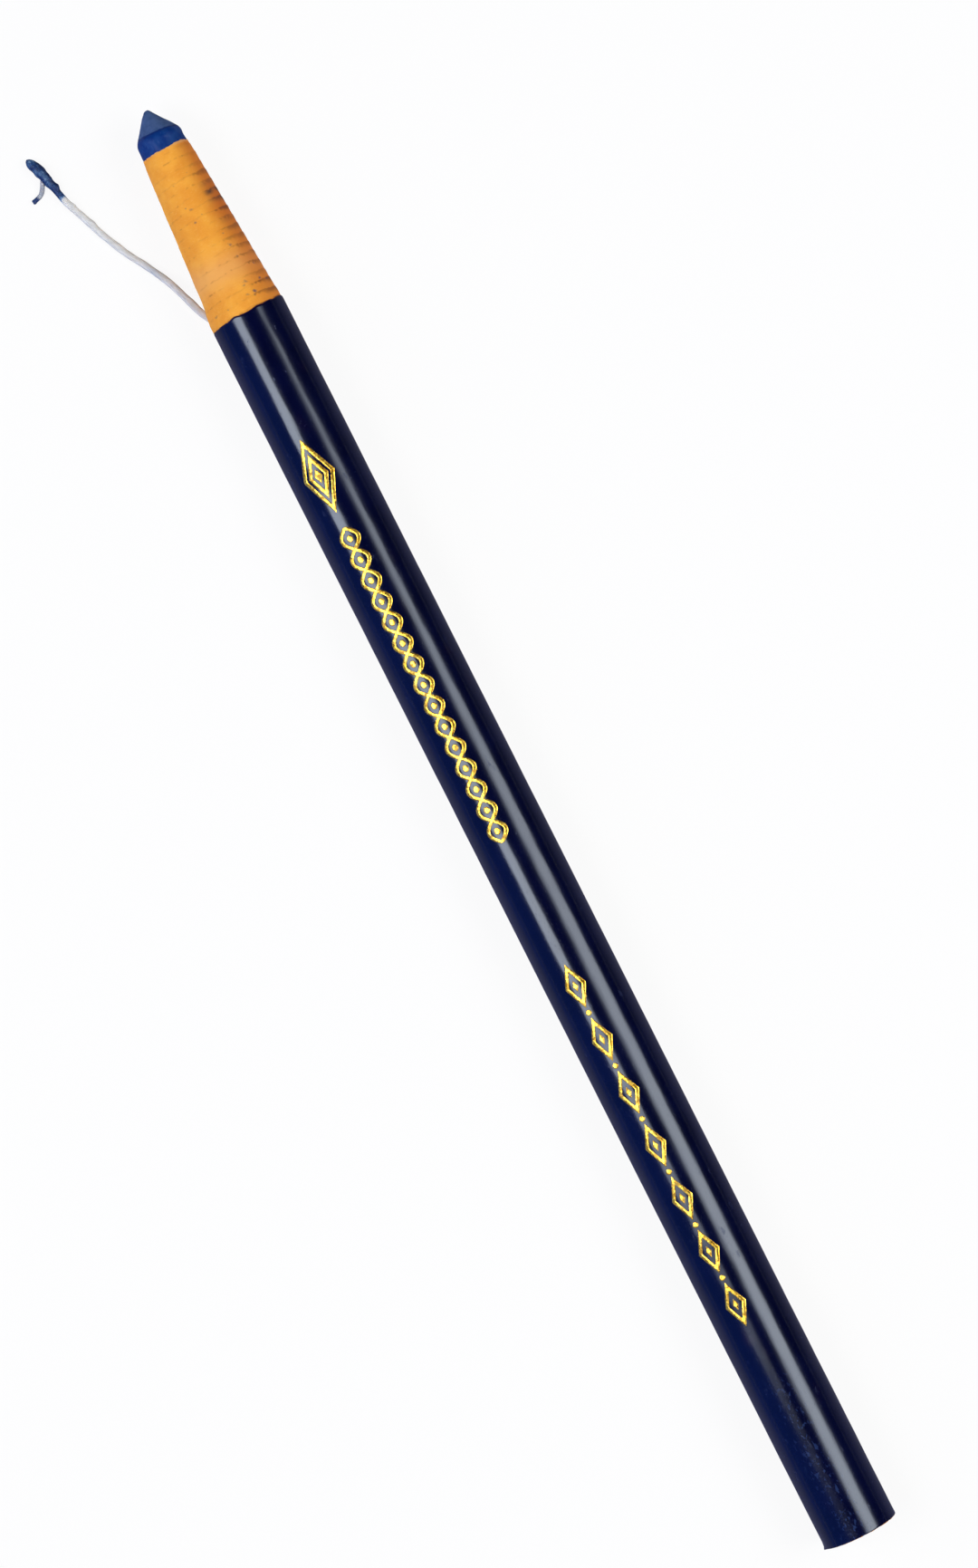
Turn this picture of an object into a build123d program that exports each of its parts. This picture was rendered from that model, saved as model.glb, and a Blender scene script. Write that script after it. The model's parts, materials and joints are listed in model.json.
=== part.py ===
# China marker: a wax grease pencil in a wound paper barrel that is peeled with a pull string.
# Millimetres. It lies on its side with its axis along X, the wax point at +X and the cut
# butt at -X. The origin is on the surface that it lies on, under the middle of its length.
# The pull string leaves the paper on the +Y side and lies on that surface, beside the point.
import math
import os

from build123d import *

os.makedirs("parts", exist_ok=True)

# Whole marker
overall_length = 178.0  # wax point to butt
barrel_diameter = 8.9  # over the outer wrap
glue_line = 0.02  # film of glue between core, winding and wrap

# Wax core
core_diameter = 5.4
point_half_angle = 36.4  # degrees between the side of the point and its axis
point_flat_radius = 0.27  # worn end of the point
point_edge_radius = 0.15  # rounding of that worn end
shoulder_radius = 0.5  # rounding between the point and the straight core
bare_wax = 4.85  # wax that shows ahead of the paper

# Paper winding, peeled and tapered to a cone of ply edges behind the point
paper_cone_length = 20.1  # paper that shows between the wax and the outer wrap
ply_turns = 17  # turns of the paper strip whose edges show on the cone
lip_thickness = 0.09  # paper at the front edge of the cone
lip_length = 0.12  # straight paper ahead of the first ply edge and behind the last

# Outer wrap
wrap_thickness = 0.15
butt_round = 0.1  # worn outer edge of the wrap at the butt

# Pull string
string_diameter = 0.7
channel_clearance = 0.03  # between the string and the channel that it presses in the paper
channel_roof = 0.12  # paper between the channel and the outer wrap
string_drop_angle = 18.0  # degrees that the string lies below the marker's level middle, on +Y
exit_setback = 0.15  # corner of the string's bend, ahead of the wrap's front edge
exit_angle = 30.0  # degrees that the string turns outwards to leave the paper
exit_bend_radius = 2.2
root_clearance = 0.1  # between the free string's round root and the paper
root_gap = 0.6  # from the middle of that root back to the held string

# Wax bead and tail at the string's free end
bead_length = 5.5
bead_neck_radius = 0.45  # where the wax starts on the string
bead_waist = 1.2  # from there to the thinnest wax
bead_waist_radius = 0.42
bead_belly = 3.4  # from there to the thickest wax
bead_belly_radius = 0.72
bead_end_radius = 0.2
tail_diameter = 0.55
lying_gap = 0.01  # between the string, its bead and its tail and the surface they lie on
corner_share = 0.45  # of a straight run of the string that each corner's bend takes up

# Worked out from these
butt_x = -overall_length / 2
tip_x = overall_length / 2
axis_z = barrel_diameter / 2
core_radius = core_diameter / 2
bore_radius = core_radius + glue_line
wrap_bore_radius = barrel_diameter / 2 - wrap_thickness
winding_radius = wrap_bore_radius - glue_line
paper_front_x = tip_x - bare_wax
wrap_front_x = paper_front_x - paper_cone_length
lip_radius = bore_radius + lip_thickness
first_ply_x = paper_front_x - lip_length
last_ply_x = wrap_front_x + lip_length
ply_pitch = (first_ply_x - last_ply_x) / ply_turns
ply_step = (winding_radius - lip_radius) / (ply_turns + 1)
ply_taper = math.atan(ply_step / ply_pitch)
string_radius = string_diameter / 2
channel_radius = string_radius + channel_clearance
string_depth_radius = winding_radius - channel_roof - channel_radius
exit_corner_x = wrap_front_x + exit_setback
string_lying_z = string_radius + lying_gap
bead_lying_z = bead_belly_radius + lying_gap
tail_lying_z = tail_diameter / 2 + lying_gap


def raised(solid):
    """The solid, moved from an axis at height 0 up to the height that the marker lies at."""
    return Pos(0, 0, axis_z) * solid


def tube(path, radius):
    """Round tube along a path of straight runs and tangent arcs."""
    return sweep(Plane(origin=path @ 0, z_dir=path % 0) * Circle(radius), path)


def rounded_route(points):
    """Path through the points with each corner as wide as its two runs allow, and its radii."""
    points = [Vector(point) for point in points]
    radii = []
    for before, corner, after in zip(points, points[1:], points[2:]):
        run_in = corner - before
        run_out = after - corner
        turn = math.radians(run_in.get_angle(run_out))
        radii.append(corner_share * min(run_in.length, run_out.length) / math.tan(turn / 2))
    return FilletPolyline(*points, radius=radii), radii


def on_string_line(x, radius):
    """Point on the +Y side, under the level middle, where the string lies in the paper."""
    drop = math.radians(string_drop_angle)
    return Vector(x, radius * math.cos(drop), axis_z - radius * math.sin(drop))


def past_exit(distance):
    """Point on the string's straight line out of the paper, a distance past its bend's corner."""
    turn = math.radians(exit_angle)
    return on_string_line(
        exit_corner_x + distance * math.cos(turn),
        string_depth_radius + distance * math.sin(turn),
    )


def held_string_path(distance):
    """Line of the string from the butt along its channel, and out to a distance past the bend."""
    return FilletPolyline(
        on_string_line(butt_x, string_depth_radius),
        on_string_line(exit_corner_x, string_depth_radius),
        past_exit(distance),
        radius=exit_bend_radius,
    )


def wax_core():
    """Wax rod, cut flat at the butt and turned to a blunt point."""
    point_length = (core_radius - point_flat_radius) / math.tan(math.radians(point_half_angle))
    outline = Polyline(
        (butt_x, 0),
        (butt_x, core_radius),
        (tip_x - point_length, core_radius),
        (tip_x, point_flat_radius),
        (tip_x, 0),
        close=True,
    )
    profile = make_face(outline)
    shoulder = profile.vertices().sort_by_distance((tip_x - point_length, core_radius))[0]
    profile = fillet(shoulder, shoulder_radius)
    worn_edge = profile.vertices().sort_by_distance((tip_x, point_flat_radius))[0]
    profile = fillet(worn_edge, point_edge_radius)
    return raised(revolve(profile, Axis.X))


def paper_winding():
    """Wound paper, with the ply edges of its cone as one unbroken spiral staircase.

    Each turn of the strip ends one ply pitch behind the turn under it, so a turn shows as a
    flat tread along X and a riser as high as one ply. Both are ruled between helices. The
    string's channel is cut through the whole length and out through the cone.
    """

    def across(x):
        """Plane square to the axis, with its X direction at the strip's seam, facing down."""
        return Plane((x, 0, 0), x_dir=(0, 0, -1), z_dir=(-1, 0, 0))

    def helix(turn, plies):
        """Edge of one turn, a number of plies above the lip where the spiral starts."""
        return Edge.make_helix(
            pitch=ply_pitch / math.cos(ply_taper),
            height=ply_pitch,
            radius=lip_radius + plies * ply_step,
            center=(first_ply_x - turn * ply_pitch, 0, 0),
            normal=(-1, 0, 0),
            angle=math.degrees(ply_taper),
        )

    def flat_ring(x, radius):
        """Flat end of the paper, from the bore out to a radius."""
        return Face(Wire.make_circle(radius, across(x)), [Wire.make_circle(bore_radius, across(x))])

    def straight_wall(radius, front_x):
        """Round wall from the butt to front_x."""
        rod = Solid.make_cylinder(radius, front_x - butt_x, across(front_x))
        return rod.faces().filter_by(GeomType.CYLINDER)[0]

    def seam_face(*corners):
        """Flat face in the plane where the strip starts and ends, from (x, radius) corners."""
        return Face(Wire.make_polygon([(x, 0, -radius) for x, radius in corners]))

    ruled = Face.make_surface_from_curves
    feet = [helix(turn, turn + 1) for turn in range(ply_turns)]
    tops = [helix(turn, turn + 2) for turn in range(ply_turns - 1)]
    faces = [
        flat_ring(butt_x, winding_radius),
        straight_wall(winding_radius, wrap_front_x),
        ruled(feet[-1], Edge.make_circle(winding_radius, across(wrap_front_x))),
        ruled(Edge.make_circle(lip_radius, across(paper_front_x)), feet[0]),
        flat_ring(paper_front_x, lip_radius),
        straight_wall(bore_radius, paper_front_x),
        seam_face(
            (paper_front_x, lip_radius),
            (first_ply_x, lip_radius + ply_step),
            (first_ply_x, lip_radius + 2 * ply_step),
            (first_ply_x - ply_pitch, lip_radius + 2 * ply_step),
        ),
        seam_face(
            (wrap_front_x, winding_radius),
            (last_ply_x, winding_radius),
            (last_ply_x + ply_pitch, winding_radius),
            (last_ply_x + ply_pitch, winding_radius - ply_step),
        ),
    ]
    faces += [ruled(foot, top) for foot, top in zip(feet, tops)]
    faces += [ruled(top, foot) for top, foot in zip(tops, feet[1:])]
    channel = tube(held_string_path(exit_run + string_diameter), channel_radius)
    return raised(Solid(Shell(faces))) - channel


def outer_wrap():
    """Glossy paper sleeve glued round the winding, cut square at both ends."""
    outline = Polyline(
        (butt_x, wrap_bore_radius),
        (butt_x, barrel_diameter / 2),
        (wrap_front_x, barrel_diameter / 2),
        (wrap_front_x, wrap_bore_radius),
        close=True,
    )
    profile = make_face(outline)
    worn_edge = profile.vertices().sort_by_distance((butt_x, barrel_diameter / 2))[0]
    return raised(revolve(fillet(worn_edge, butt_round), Axis.X))


def held_string():
    """The string's length in the paper, from the butt to just past the mouth of its channel."""
    return tube(held_string_path(exit_run - root_gap), string_radius)


def pull_string():
    """Free length of string, with a round root where it turns at the mouth of its channel."""
    path, radii = rounded_route(string_route)
    print("free string:", round(path.length, 2), "mm, radii", [round(radius, 1) for radius in radii])
    string = tube(path, string_radius)
    section = math.pi * string_radius**2
    print("  volume over section times length:", round(string.volume / (section * path.length), 4))
    root = Plane(origin=path @ 0, z_dir=path % 0) * Sphere(string_radius, arc_size2=0)
    return string + root


def string_tail():
    """Cut end of the string, doubled back through the bead and out at its side."""
    path, radii = rounded_route(tail_route)
    print("tail:", round(path.length, 2), "mm, radii", [round(radius, 1) for radius in radii])
    return tube(path, tail_diameter / 2)


def string_bead():
    """Lump of wax on the doubled end of the string, turned about the string's line."""
    stations = [
        (0, bead_neck_radius),
        (bead_waist, bead_waist_radius),
        (bead_belly, bead_belly_radius),
        (bead_length, bead_end_radius),
    ]
    profile = make_face(
        [
            Spline(*stations),
            Polyline(stations[-1], (bead_length, 0), (0, 0), stations[0]),
        ]
    )
    seat = Plane(origin=string_route[-1], x_dir=string_route[-1] - string_route[-2], z_dir=(0, 0, 1))
    tail_socket = tube(rounded_route(tail_route)[0], tail_diameter / 2 + channel_clearance)
    return seat * revolve(profile, Axis.X) - tail_socket


# The paper's outermost ply corners run along this line, and the string's root stands clear of it
ply_line_radius = lip_radius + (2 + (first_ply_x - exit_corner_x) / ply_pitch) * ply_step
root_stand_off = string_radius / math.cos(ply_taper) + root_clearance
exit_rise = math.sin(math.radians(exit_angle)) + math.tan(ply_taper) * math.cos(math.radians(exit_angle))
exit_run = (ply_line_radius + root_stand_off - string_depth_radius) / exit_rise
string_exit = past_exit(exit_run)


def beside_exit(steps):
    """Points given as steps along X and Y from the string's exit, and a height over the surface."""
    return [Vector(string_exit.X + ahead, string_exit.Y + aside, height) for ahead, aside, height in steps]


# Routes of the free string, down to the surface and along it, and of its tail
string_route = [string_exit] + beside_exit(
    [
        (2.41, 0.80, 2.05),
        (5.21, 1.78, 1.10),
        (7.81, 3.13, 0.55),
        (10.51, 4.75, string_lying_z),
        (13.21, 6.03, string_lying_z),
        (16.01, 7.08, 0.42),
        (18.21, 8.03, bead_lying_z),
        (19.61, 8.38, bead_lying_z),
    ]
)
tail_route = beside_exit(
    [
        (22.31, 9.38, 0.60),
        (21.41, 9.83, 0.45),
        (20.51, 10.63, 0.30),
        (20.11, 11.63, tail_lying_z),
    ]
)

parts = {
    "wax_core": wax_core(),
    "paper_winding": paper_winding(),
    "outer_wrap": outer_wrap(),
    "held_string": held_string(),
    "pull_string": pull_string(),
    "string_bead": string_bead(),
    "string_tail": string_tail(),
}
print("string exit:", [round(value, 3) for value in string_exit])
for name, solid in parts.items():
    export_step(solid, os.path.join("parts", name + ".step"))
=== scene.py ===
import json
import math

import bpy
import numpy as np
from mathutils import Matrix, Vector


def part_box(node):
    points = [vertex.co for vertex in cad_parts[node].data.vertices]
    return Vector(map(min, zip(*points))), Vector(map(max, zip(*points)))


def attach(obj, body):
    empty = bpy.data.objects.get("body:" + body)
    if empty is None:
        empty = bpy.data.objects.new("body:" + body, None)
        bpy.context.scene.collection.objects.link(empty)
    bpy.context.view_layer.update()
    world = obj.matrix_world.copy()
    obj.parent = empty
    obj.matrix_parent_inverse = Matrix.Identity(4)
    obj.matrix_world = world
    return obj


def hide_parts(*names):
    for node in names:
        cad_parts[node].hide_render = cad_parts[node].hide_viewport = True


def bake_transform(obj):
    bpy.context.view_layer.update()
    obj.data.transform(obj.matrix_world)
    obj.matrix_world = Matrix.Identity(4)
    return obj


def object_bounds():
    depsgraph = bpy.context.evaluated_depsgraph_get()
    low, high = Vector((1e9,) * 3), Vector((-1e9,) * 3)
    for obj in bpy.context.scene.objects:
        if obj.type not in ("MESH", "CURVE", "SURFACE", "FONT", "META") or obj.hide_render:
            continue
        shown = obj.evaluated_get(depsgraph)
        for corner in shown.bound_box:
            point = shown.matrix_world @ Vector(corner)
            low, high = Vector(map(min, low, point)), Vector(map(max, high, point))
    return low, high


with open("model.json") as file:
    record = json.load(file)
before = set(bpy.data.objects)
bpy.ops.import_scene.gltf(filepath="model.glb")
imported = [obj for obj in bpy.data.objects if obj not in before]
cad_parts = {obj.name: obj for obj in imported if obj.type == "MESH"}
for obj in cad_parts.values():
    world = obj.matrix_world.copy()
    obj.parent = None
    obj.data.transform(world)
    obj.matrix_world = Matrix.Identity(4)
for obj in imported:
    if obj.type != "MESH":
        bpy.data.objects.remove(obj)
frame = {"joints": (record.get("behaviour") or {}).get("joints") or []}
cad_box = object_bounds()

# Wax core: a rod of blue pigmented wax, cast as long as the marker, which the paper is wound on.
# Its front is turned to a blunt cone with a dull, scraped face. Behind the cone shows a short band
# of the smooth, deep blue casting, and the back is cut off with the barrel.
mm = 0.001
full_turn = 2 * math.pi


def box_mm(node):
    """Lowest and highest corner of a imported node, in millimetres."""
    return [np.array(corner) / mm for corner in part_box(node)]


core_low, core_high = box_mm("wax_core")
butt_x = core_low[0]
tip_x = core_high[0]
axis_z = (core_low[2] + core_high[2]) / 2
core_radius = (core_high[1] - core_low[1]) / 2
bare_wax = tip_x - box_mm("paper_winding")[1][0]
cone_slope = math.tan(math.radians(36.4))
worn_flat = 0.27
shoulder_round = 0.35
worn_depth = 0.2
scraped_length = 2.87
butt_recess = 0.03
wax_columns = 200
crease_angle = math.radians(50)


def smooth(value, start, end):
    """0 before start and 1 past end, with a smooth step between."""
    share = np.clip((value - start) / (end - start), 0, 1)
    return share * share * (3 - 2 * share)


def unevenness(points, size, seed):
    """Soft bumps of about -1 to 1: the sum of cosine waves about `size` long, in seeded directions."""
    draw = np.random.default_rng(seed)
    heading = draw.normal(size=(3, 24))
    heading /= np.linalg.norm(heading, axis=0)
    waves = heading * full_turn / size * draw.uniform(0.6, 1.5, 24)
    return np.cos(points @ waves + draw.uniform(0, full_turn, 24)).sum(axis=-1) / 5


def round_axis(x, radius, angle):
    """Points at x along the marker, a radius from its axis and an angle from the top towards +Y."""
    level = radius * np.sin(angle)
    height = axis_z + radius * np.cos(angle)
    return np.stack(np.broadcast_arrays(x, level, height), axis=-1)


def place_on_axis(points):
    """The way back: x, radius and angle of points."""
    level = points[..., 1]
    height = points[..., 2] - axis_z
    return points[..., 0], np.hypot(level, height), np.arctan2(level, height)


def shell(rings, poles=None):
    """Points, quads and triangles of a closed shell from a grid of points, (rings, points of a ring, 3).

    Quads join each ring to the next, and they face out when the rings run towards +X round
    the outside. Two pole points close the first and last ring with triangles. Without them the
    last ring joins the first, as on the wall of a tube.
    """
    count, columns = rings.shape[:2]
    corner = np.arange(count * columns).reshape(count, columns)
    here = corner if poles is None else corner[:-1]
    ahead = np.roll(corner, -1, axis=0) if poles is None else corner[1:]
    quads = np.stack([here, ahead, np.roll(ahead, -1, axis=1), np.roll(here, -1, axis=1)], axis=-1)
    points = rings.reshape(-1, 3)
    triangles = np.empty((0, 3), dtype=int)
    if poles is not None:
        first = np.full(columns, len(points))
        last = first + 1
        first_cap = np.stack([first, corner[0], np.roll(corner[0], -1)], axis=-1)
        last_cap = np.stack([corner[-1], last, np.roll(corner[-1], -1)], axis=-1)
        triangles = np.vstack([first_cap, last_cap])
        points = np.vstack([points, poles])
    return points, (quads.reshape(-1, 4), triangles)


def make_piece(name, points, faces, **marks):
    """Smooth mesh from points in millimetres, creased where faces meet at more than the crease angle.

    Each mark is a number for every point, which the finish reads by the mark's name.
    """
    mesh = bpy.data.meshes.new(name)
    quads, triangles = faces
    mesh.from_pydata(points * mm, [], quads.tolist() + triangles.tolist())
    mesh.shade_smooth()
    mesh.set_sharp_from_angle(angle=crease_angle)
    for mark, values in marks.items():
        mesh.attributes.new(mark, "FLOAT", "POINT").data.foreach_set("value", values.astype(np.float32))
    made = bpy.data.objects.new(name, mesh)
    bpy.context.scene.collection.objects.link(made)
    return made


def wax_radius(x):
    """The lesser of the cone's flank and the rod's radius, with the corner between them rounded."""
    flank = worn_flat + (tip_x - x) * cone_slope
    share = np.clip(0.5 + (flank - core_radius) / (2 * shoulder_round), 0, 1)
    return flank + (core_radius - flank) * share - shoulder_round * share * (1 - share)


def wax_shell():
    """Lathe of the wax from the butt's middle to the tip's, dented a little, with a slanted worn tip."""
    flank_x = np.concatenate([
        np.linspace(butt_x + 0.1, tip_x - bare_wax - 2, 3),
        np.linspace(tip_x - bare_wax - 1.9, tip_x - 4.2, 16),
        np.linspace(tip_x - 4.1, tip_x - 0.15, 70),
    ])
    face_radius = core_radius * np.array([0.2, 0.4, 0.6, 0.8, 0.95, 0.985])
    face_x = butt_x + butt_recess + np.array([0, 0, 0, 0, 0, 0.015])
    nose_x = tip_x - np.array([0.08, 0.035, 0.012, 0])
    nose_radius = np.array([0.31, 0.25, 0.18, 0.09])
    x = np.concatenate([face_x, flank_x, nose_x])[:, None]
    radius = np.concatenate([face_radius, wax_radius(flank_x), nose_radius])[:, None]
    angle = np.linspace(0, full_turn, wax_columns, endpoint=False)
    rings = round_axis(x, radius, angle)
    bare = smooth(x, tip_x - bare_wax - 1, tip_x - bare_wax)
    dents = 0.022 * unevenness(rings, 1.6, 11) + 0.008 * unevenness(rings, 0.5, 12)
    rings = round_axis(x, radius * (1 + bare * dents / core_radius), angle)
    worn = 1 - smooth(tip_x - x, 0.05, 0.7)
    rings[..., 0] -= worn * worn_depth * (rings[..., 1] + worn_flat)
    return shell(rings, [(butt_x + butt_recess, 0, axis_z), (tip_x - worn_depth * worn_flat, 0, axis_z)])


class Wire:
    """One output of a shader node. Sums and products of wires add Math nodes beside it."""

    def __init__(self, tree, socket=None):
        self.tree = tree
        self.socket = socket

    def node(self, kind, settings, sockets, output=0):
        """Adds a node: its settings first, then its sockets' values or wires. Gives one output."""
        made = self.tree.nodes.new("ShaderNode" + kind)
        for name, value in settings.items():
            setattr(made, name, value)
        for key, value in sockets.items():
            if isinstance(value, Wire):
                self.tree.links.new(value.socket, made.inputs[key])
            else:
                made.inputs[key].default_value = value
        return Wire(self.tree, made.outputs[output] if made.outputs else None)

    def math(self, operation, *values):
        """A Math node on numbers or wires."""
        return self.node("Math", {"operation": operation}, dict(enumerate(values)))

    def __add__(self, other):
        return self.math("ADD", self, other)

    def __sub__(self, other):
        return self.math("SUBTRACT", self, other)

    def __rsub__(self, other):
        return self.math("SUBTRACT", other, self)

    def __mul__(self, other):
        return self.math("MULTIPLY", self, other)

    __radd__ = __add__
    __rmul__ = __mul__

    def above(self, start, end):
        """0 below start, 1 above end and a smooth step between, as smooth() gives for arrays."""
        ends = {"Value": self, "From Min": start, "From Max": end}
        return self.node("MapRange", {"interpolation_type": "SMOOTHSTEP"}, ends)

    def mix(self, first, second):
        """Colour between two, by this wire as the share of the second."""
        return self.node("Mix", {"data_type": "RGBA"}, {0: self, 6: first, 7: second}, output=2)

    def mark(self, name):
        """A number that the piece's mesh holds for each point."""
        return self.node("Attribute", {"attribute_name": name}, {}, output=2)

    def place(self, stretch=(1, 1, 1)):
        """The piece's own coordinates in millimetres, each axis times its stretch."""
        where = self.node("TexCoord", {}, {}, output="Object")
        scale = tuple(share / mm for share in stretch)
        return self.node("VectorMath", {"operation": "MULTIPLY"}, {0: where, 1: scale})

    def grain(self, size, detail=2.0, stretch=(1, 1, 1)):
        """Noise of about 0.3 to 0.7 with patches of about a size in millimetres."""
        sockets = {"Vector": self.place(stretch), "Scale": 1 / size, "Detail": detail}
        return self.node("TexNoise", {}, sockets)


def shade(red, green, blue):
    """Linear colour for a screen colour of 0 to 255 a channel."""
    screen = np.array([red, green, blue]) / 255
    linear = np.where(screen <= 0.04045, screen / 12.92, ((screen + 0.055) / 1.055) ** 2.4)
    return (*linear.tolist(), 1.0)


def new_finish(name):
    """An empty material, and a wire to add its nodes from."""
    material = bpy.data.materials.new(name)
    material.use_nodes = True
    material.node_tree.nodes.clear()
    return material, Wire(material.node_tree)


def close_finish(piece, material, wire, sockets, relief, depth):
    """Ends a finish in a surface with relief as bump, its depth in millimetres, and lays it on."""
    bump = wire.node("Bump", {}, {"Height": relief, "Distance": depth * mm})
    surface = wire.node("BsdfPrincipled", {}, {**sockets, "Normal": bump})
    wire.node("OutputMaterial", {}, {"Surface": surface})
    piece.data.materials.append(material)


def wax_marks(points):
    """Where the turned face of the cone is, and the line of rubbed wax along its edge."""
    x, _, angle = place_on_axis(points)
    ragged = 0.05 * unevenness(points, 0.8, 13)
    past_edge = x - (tip_x - scraped_length + 0.12 * np.sin(angle) + ragged)
    return {
        "scraped": smooth(past_edge, -0.04, 0.08),
        "rubbed": np.exp(-((past_edge + 0.07) / 0.1) ** 2),
        "sawn": 1 - smooth(x, butt_x + 0.05, butt_x + 0.2),
    }


def wax_finish(piece):
    """Deep blue wax with pale scuffs, greyer and duller where the cone was turned."""
    material, wire = new_finish("blue_wax")
    mottle = wire.grain(0.9)
    scraped = wire.mark("scraped")
    cast = mottle.above(0.35, 0.65).mix(shade(0, 45, 113), shade(17, 59, 123))
    scuffs = wire.grain(0.35, 4, (0.35, 1, 1)).above(0.58, 0.74) * 0.3
    cast = scuffs.mix(cast, shade(76, 98, 144))
    turned = mottle.above(0.35, 0.65).mix(shade(56, 82, 126), shade(66, 91, 136))
    streaks = wire.grain(0.12, 3, (1, 0.3, 0.3)).above(0.4, 0.7) * 0.25
    turned = streaks.mix(turned, shade(80, 103, 146))
    colour = scraped.mix(cast, turned)
    colour = (wire.mark("rubbed") * 0.75).mix(colour, shade(10, 30, 84))
    saw_lines = wire.grain(0.16, 3, (1, 1, 0.06)).above(0.42, 0.66) * wire.mark("sawn")
    colour = (saw_lines * 0.5).mix(colour, shade(74, 100, 150))
    relief = wire.grain(0.08, 3) * 0.4 + mottle - saw_lines * 0.5
    sockets = {"Base Color": colour, "Roughness": scraped * 0.18 + 0.42, "Specular IOR Level": 0.16}
    close_finish(piece, material, wire, sockets, relief, 0.02)


wax_points, wax_faces = wax_shell()
wax_rod = make_piece("wax_rod", wax_points, wax_faces, **wax_marks(wax_points))
wax_finish(wax_rod)
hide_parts("wax_core")
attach(wax_rod, "marker")

# Paper winding: a strip of bare kraft paper, wound round the wax in about nineteen plies and glued.
# Each turn starts further back than the one under it, so the front is a cone whose ply edges show
# as one long spiral step. The string lies under the outer plies and lifts them where it leaves.
paper_low, paper_high = box_mm("paper_winding")
wrap_low, wrap_high = box_mm("outer_wrap")
winding_radius = (paper_high[1] - paper_low[1]) / 2
glue_line = 0.02
lip_thickness = 0.09
lip_radius = core_radius + glue_line + lip_thickness
lip_length = 0.12
lip_setback = 0.2
first_ply_x = tip_x - bare_wax - lip_length
last_ply_x = wrap_high[0] + lip_length
ply_turns = 17
ply_pitch = (first_ply_x - last_ply_x) / ply_turns
ply_step = (winding_radius - lip_radius) / (ply_turns + 1)
string_exit = np.array(frame["joints"][0]["pos_m"]) / mm
string_angle = math.radians(108)
string_depth = 3.78
string_bend_x = 64.2
string_rise = math.tan(math.radians(30))
channel_radius = 0.38
pressed_depth = 0.05
butt_face_rings = 22
cone_rings = 230
paper_columns = 340


def ply_phase(x, angle, points):
    """Turns of the strip from its first edge back to a place, whole at an edge, a little ragged."""
    spiral = ((angle - math.pi) % full_turn) / full_turn
    ragged = 0.06 * unevenness(points, 2.5, 21) + 0.03 * unevenness(points, 0.7, 22)
    return (first_ply_x - x) / ply_pitch - spiral + ragged


def paper_radius(x, angle, points):
    """Staircase of plies, worn towards a plain cone on top and left, lifted over the string.

    A turn's riser takes the first part of a pitch and its tread the rest. The channel's mouth is
    where the string's line rises through the paper: there the paper is cut down to a trough.
    """
    phase = ply_phase(x, angle, points)
    level = np.floor(phase)
    stairs = level + 1 + smooth(phase - level, 0, 0.16)
    wear = 0.62 + 0.22 * np.cos(angle - math.radians(40)) + 0.1 * unevenness(points, 4, 23)
    steps = np.clip(stairs + wear * (phase + 1.5 - stairs), 0, ply_turns + 1)
    pressed = smooth(x, wrap_high[0], wrap_high[0] + 2) + smooth(x, first_ply_x - 2, first_ply_x)
    radius = lip_radius + ply_step * steps - pressed_depth * pressed
    across = (angle - string_angle + math.pi) % full_turn - math.pi
    lifted = smooth(x, wrap_high[0] - 3, wrap_high[0])
    lifted = lifted * (1 - smooth(x, string_bend_x + 0.6, string_bend_x + 2.4))
    lift = 0.16 * lifted * np.exp(-((across + 0.12) * radius / 1.05) ** 2)
    dents = 0.012 * unevenness(points, 3, 24) + 0.004 * unevenness(points, 0.6, 25)
    radius = radius + lift + dents * smooth(radius, lip_radius, lip_radius + 0.2)
    radius = np.maximum(radius, core_radius + 0.05)
    aside = across * radius
    half_width = np.sqrt(np.clip(channel_radius**2 - aside**2, 0, None))
    string_line = string_depth + np.clip(x - string_bend_x, 0, None) * string_rise
    opened = (half_width > 0) & (string_line + half_width / 0.87 > radius) & (x > string_bend_x)
    return np.where(opened, np.minimum(radius, string_line - half_width), radius)


def paper_shell():
    """Closed wall of paper: the butt's face, the winding, its stepped cone, the lip and the bore."""
    angle = np.linspace(0, full_turn, paper_columns, endpoint=False)
    bore = core_radius + glue_line
    face_radius = np.linspace(bore, winding_radius, butt_face_rings)[:, None]
    face = round_axis(butt_x + butt_recess, face_radius, angle)
    string_end = round_axis(butt_x, string_depth, string_angle)
    off_string = np.linalg.norm((face - string_end)[..., 1:], axis=-1)
    face[..., 0] += 0.25 * (1 - smooth(off_string, channel_radius - 0.06, channel_radius + 0.02))
    face[..., 0] += 0.02 * unevenness(face, 0.8, 26)
    face[..., 0] = np.maximum(face[..., 0], butt_x)
    cone_x = np.linspace(wrap_high[0] - 1.6, tip_x - bare_wax - lip_setback, cone_rings)[:, None]
    smooth_cone = round_axis(cone_x, winding_radius, angle)
    front = smooth(cone_x, cone_x[-1] - 0.8, cone_x[-1])
    torn = 0.08 * unevenness(smooth_cone, 1.6, 27) + 0.03 * unevenness(smooth_cone, 0.5, 28)
    ragged_x = cone_x + front * (torn - 0.1 * np.sin(angle))
    cone = round_axis(ragged_x, paper_radius(ragged_x, angle, smooth_cone), angle)
    lip_x = ragged_x[-1:]
    lip = round_axis(lip_x + 0.02, bore + 0.015, angle)
    wall_x = np.vstack([lip_x, np.full_like(lip_x, cone_x[0]), np.full_like(lip_x, butt_x + 0.4)])
    return shell(np.concatenate([face, cone, lip, round_axis(wall_x, bore, angle)]))


paper_points, paper_faces = paper_shell()

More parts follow.
